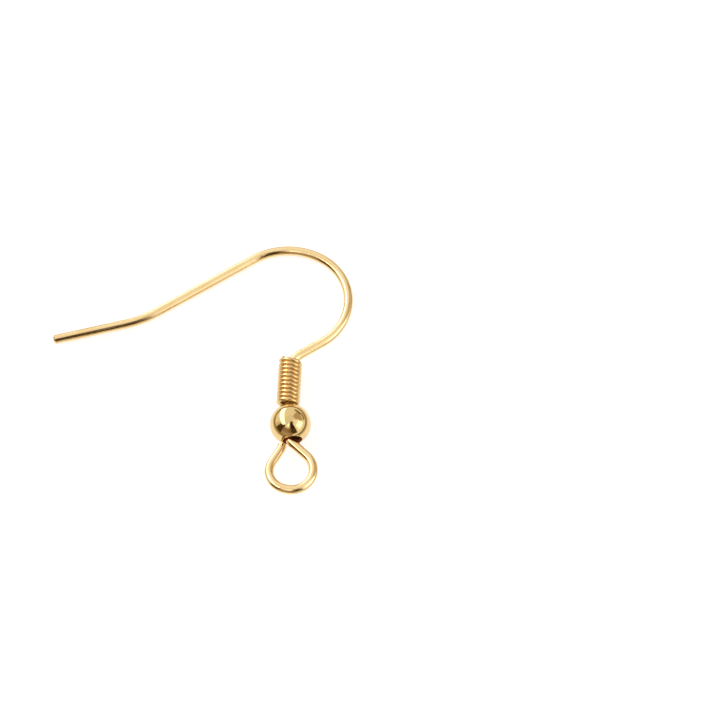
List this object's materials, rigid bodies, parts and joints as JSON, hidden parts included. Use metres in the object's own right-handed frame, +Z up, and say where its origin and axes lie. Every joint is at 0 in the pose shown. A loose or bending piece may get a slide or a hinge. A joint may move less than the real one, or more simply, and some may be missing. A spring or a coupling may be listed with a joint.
{
  "type": "ear wire",
  "caption": "Fish-hook ear wire bent from one round wire, with a hollow bead and a close-wound coil on its stem and an open eye below for a drop.",
  "frame": {"origin": "middle of the bounding box, on the table that the ear wire lies on", "axes": "+Z up from the table, +X from the free end towards the bow, +Y from the eye along the stem towards the crest of the bow"},
  "size_m": [0.022, 0.02, 0.003],
  "materials": {
    "gold_wire": "gold plated, bright, with faint drawing lines",
    "gold_bead": "gold plated, mirror polished",
    "gold_coil": "gold plated, bright"
  },
  "bodies": {
    "ear_wire": {"ear_hook": "gold_wire"},
    "bead": {"bead": "gold_bead"},
    "coil": {"coil": "gold_coil"}
  },
  "joints": [
    {"name": "bead_spin", "type": "hinge", "parent": "ear_wire", "child": "bead", "pos_m": [0.00631, -0.00442, 0.0015], "axis": [-0.1032, 0.9913, -0.0818], "continuous": true},
    {"name": "coil_spin", "type": "hinge", "parent": "ear_wire", "child": "coil", "pos_m": [0.00626, -0.00112, 0.00124], "axis": [0.0656, 0.9949, -0.0765], "range_deg": [-75, 100]}
  ]
}
